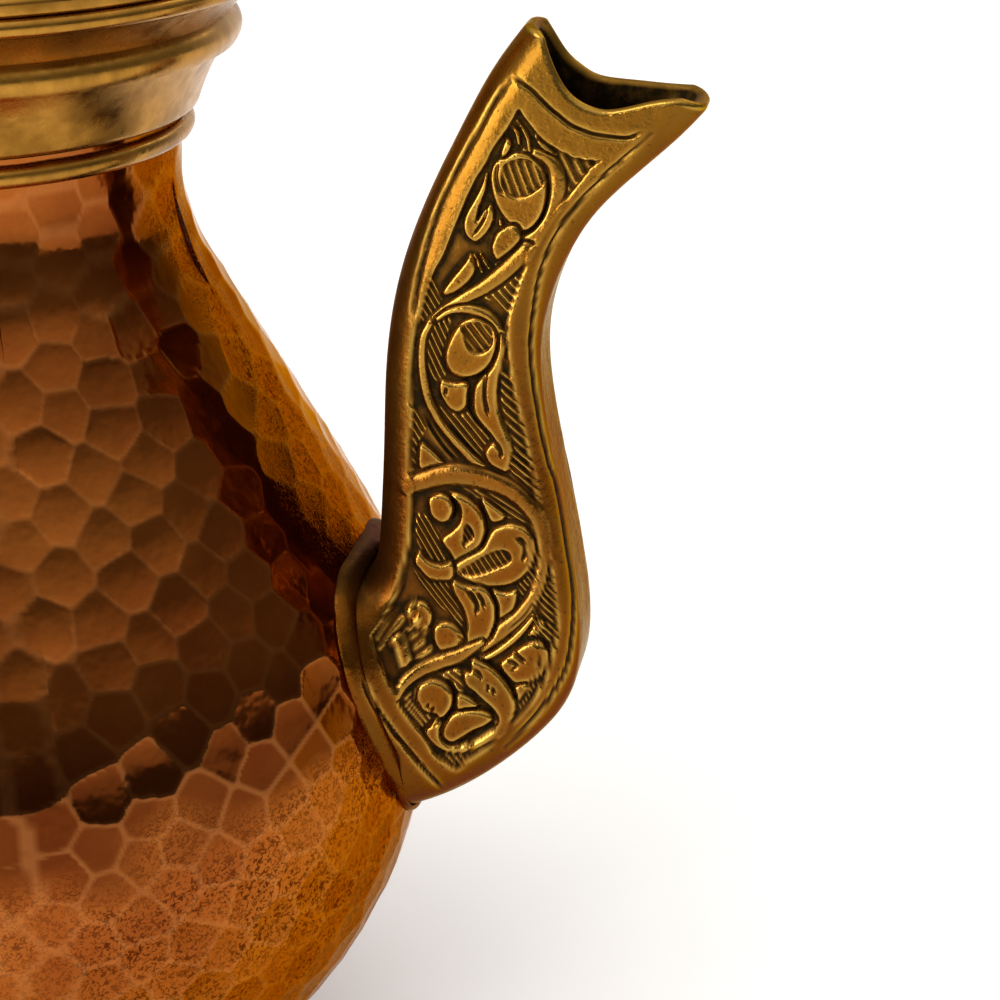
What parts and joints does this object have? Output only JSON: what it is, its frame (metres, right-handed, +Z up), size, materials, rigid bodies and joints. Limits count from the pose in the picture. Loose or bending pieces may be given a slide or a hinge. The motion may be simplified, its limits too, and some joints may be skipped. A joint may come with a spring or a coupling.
{
  "type": "teapot",
  "caption": "Hammered copper teapot with an S-shaped carved brass spout, a brass loop handle and a domed lid on a rear hinge.",
  "frame": {"origin": "centre of the flat underside of the foot", "axes": "+Z up, +X towards the spout, -X towards the handle and the lid's hinge, Y across; the pot is symmetric about the XZ plane"},
  "size_m": [0.2296, 0.135, 0.2378],
  "materials": {
    "copper": null,
    "cast_brass": "cast and chased brass with dark patina in the carving",
    "turned_brass": "turned brass, worn polish",
    "rivet_copper": "copper rivet, hammered head",
    "steel_pin": "dull iron wire and fittings"
  },
  "bodies": {
    "pot": {"body": "copper", "base_plate": "copper", "collar": "turned_brass", "neck_bead": "turned_brass", "spout": "cast_brass", "handle": "cast_brass", "handle_upper_rivets": "rivet_copper", "handle_lower_rivets": "rivet_copper", "handle_upper_roves": "rivet_copper", "handle_lower_roves": "rivet_copper", "hinge_bracket": "turned_brass", "hinge_bracket_rivets": "turned_brass", "hinge_pin": "steel_pin"},
    "lid": {"hinge_strap": "turned_brass", "hinge_strap_rivets": "turned_brass", "lid_rim": "turned_brass", "lid_bezel": "turned_brass", "lid_dome": "copper", "finial_rosette": "turned_brass", "finial": "turned_brass", "finial_washer": "steel_pin", "finial_nut": "steel_pin"}
  },
  "joints": [
    {"name": "lid_hinge", "type": "hinge", "parent": "pot", "child": "lid", "pos_m": [-0.05141, 0, 0.18064], "axis": [0, -1, 0], "range_deg": [0, 105]}
  ]
}
